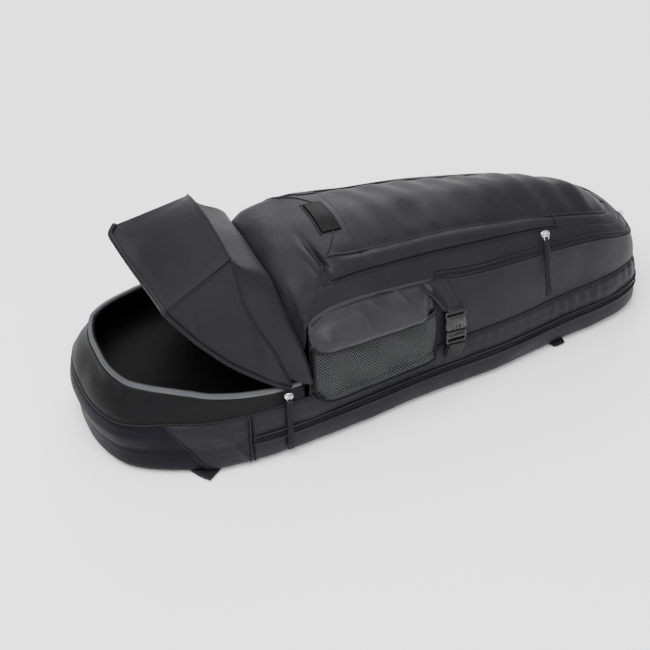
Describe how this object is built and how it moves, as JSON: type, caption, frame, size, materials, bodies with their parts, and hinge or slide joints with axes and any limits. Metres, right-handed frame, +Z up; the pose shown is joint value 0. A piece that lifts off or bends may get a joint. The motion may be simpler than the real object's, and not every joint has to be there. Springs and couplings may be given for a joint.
{
  "type": "racket tournament bag",
  "caption": "Long tapered racket bag lying on its back: shoe compartment flap open at the base, domed zipped front, mesh side pocket, buckled strap and shoulder straps.",
  "frame": {"origin": "on the floor under the middle of the back, where the bag rests on its spine pad", "axes": "+X along the bag towards its narrow top end, +Z up, out of the bag's front"},
  "size_m": [0.8045, 0.2995, 0.2822],
  "materials": {
    "nylon_shell": "satin",
    "boot_tarpaulin": "satin",
    "back_mesh": "matte",
    "lining": "satin",
    "rim_tape": "satin",
    "zip_tape": "satin",
    "mesh": "matte",
    "webbing": "satin",
    "buckle_plastic": "satin",
    "slider_metal": "polished",
    "patch": "matte"
  },
  "bodies": {
    "back_shell": {"back_pads": "back_mesh", "back_panel": "back_mesh", "base_boot": "boot_tarpaulin", "boot_side_panels": "nylon_shell", "fold_side_panels": "nylon_shell", "lower_gusset": "nylon_shell", "main_zip_lower_tape": "zip_tape", "shoe_floor": "lining", "shoe_wall": "nylon_shell", "rim_zip_tape": "rim_tape", "shoe_end_wall": "lining", "strap_top_anchors": "nylon_shell", "strap_lower_tabs": "nylon_shell"},
    "left_strap": {"left_strap_pad": "back_mesh", "left_strap_adjuster": "buckle_plastic", "left_strap_webbing": "webbing"},
    "right_strap": {"right_strap_pad": "back_mesh", "right_strap_adjuster": "buckle_plastic", "right_strap_webbing": "webbing"},
    "haul_loop": {"haul_loop": "webbing"},
    "front_body": {"main_zip_upper_tape": "zip_tape", "lid_band": "nylon_shell", "divider": "lining", "lid_wall": "nylon_shell", "second_zip_lower_tape": "zip_tape", "lower_front": "nylon_shell", "valley_wall": "nylon_shell", "side_pocket_mesh": "mesh", "side_pocket_hem": "webbing", "side_pocket_edges": "nylon_shell", "side_pocket_cover": "nylon_shell", "strap_yoke": "nylon_shell", "buckle_socket": "buckle_plastic", "blank_patch": "patch"},
    "buckle_plug": {"buckle_plug": "buckle_plastic", "compression_webbing": "webbing"},
    "second_lid": {"second_lid_sides": "nylon_shell", "second_zip_upper_tape": "zip_tape", "pocket_lining": "lining", "top_panel": "nylon_shell"},
    "pocket_panel": {"front_panel": "nylon_shell"},
    "shoe_flap": {"flap_end_panel": "nylon_shell", "flap_gussets": "nylon_shell", "flap_top": "nylon_shell", "flap_zip_tape": "zip_tape", "flap_fold": "nylon_shell"},
    "shoe_slider": {"shoe_slider": "slider_metal"},
    "shoe_puller": {"shoe_puller": "webbing"},
    "pocket_slider": {"pocket_slider": "slider_metal"},
    "pocket_puller": {"pocket_puller": "webbing"},
    "second_slider": {"second_slider": "slider_metal"},
    "second_puller": {"second_puller": "webbing"},
    "main_slider": {"main_slider": "slider_metal"},
    "main_puller": {"main_puller": "webbing"}
  },
  "joints": [
    {"name": "flap_fold_open", "type": "hinge", "parent": "back_shell", "child": "shoe_flap", "pos_m": [-0.168, 0, 0.102], "axis": [0, 1, 0], "range_deg": [-37, 10], "deforming": ["flap_fold"]},
    {"name": "main_lid", "type": "hinge", "parent": "back_shell", "child": "front_body", "pos_m": [-0.15, 0, 0.205], "axis": [0, -1, 0], "range_deg": [0, 35]},
    {"name": "second_lid_open", "type": "hinge", "parent": "front_body", "child": "second_lid", "pos_m": [-0.052, 0, 0.245], "axis": [0, -1, 0], "range_deg": [0, 35]},
    {"name": "pocket_gape", "type": "hinge", "parent": "second_lid", "child": "pocket_panel", "pos_m": [-0.052, 0.069, 0.228], "axis": [-0.9906, 0.0623, 0.1214], "range_deg": [0, 28]},
    {"name": "buckle_release", "type": "slide", "parent": "front_body", "child": "buckle_plug", "axis": [0, -0.1392, -0.9903], "range_m": [0, 0.02], "deforming": ["compression_webbing"]},
    {"name": "left_strap_swing", "type": "hinge", "parent": "back_shell", "child": "left_strap", "pos_m": [0.232, 0, 0], "axis": [0, -1, 0], "range_deg": [0, 20], "deforming": ["left_strap_webbing"]},
    {"name": "right_strap_swing", "type": "hinge", "parent": "back_shell", "child": "right_strap", "pos_m": [0.232, 0, 0], "axis": [0, -1, 0], "range_deg": [0, 20], "deforming": ["right_strap_webbing"]},
    {"name": "haul_loop_swing", "type": "hinge", "parent": "back_shell", "child": "haul_loop", "pos_m": [0.272, 0, 0.004], "axis": [0, 1, 0], "range_deg": [0, 110]},
    {"name": "shoe_zip_run", "type": "slide", "parent": "back_shell", "child": "shoe_slider", "axis": [-1, 0, 0], "range_m": [0, 0.09]},
    {"name": "shoe_puller_swing", "type": "hinge", "parent": "shoe_slider", "child": "shoe_puller", "pos_m": [-0.178, -0.1455, 0.097], "axis": [-1, 0, 0], "range_deg": [0, 120]},
    {"name": "pocket_zip_run", "type": "slide", "parent": "second_lid", "child": "pocket_slider", "axis": [-0.9834, -0.1355, 0.1204], "range_m": [0, 0.045]},
    {"name": "pocket_puller_swing", "type": "hinge", "parent": "pocket_slider", "child": "pocket_puller", "pos_m": [0.21, -0.083, 0.189], "axis": [-1, 0, 0], "range_deg": [0, 100]},
    {"name": "second_zip_run", "type": "slide", "parent": "second_lid", "child": "second_slider", "axis": [0, -1, 0], "range_m": [0, 0.03]},
    {"name": "second_puller_swing", "type": "hinge", "parent": "second_slider", "child": "second_puller", "pos_m": [0.391, 0.014, 0.11], "axis": [0, -1, 0], "range_deg": [0, 90]},
    {"name": "main_zip_run", "type": "slide", "parent": "front_body", "child": "main_slider", "axis": [0, -1, 0], "range_m": [0, 0.03]},
    {"name": "main_puller_swing", "type": "hinge", "parent": "main_slider", "child": "main_puller", "pos_m": [0.4035, 0.014, 0.04], "axis": [0, -1, 0], "range_deg": [0, 120]}
  ]
}
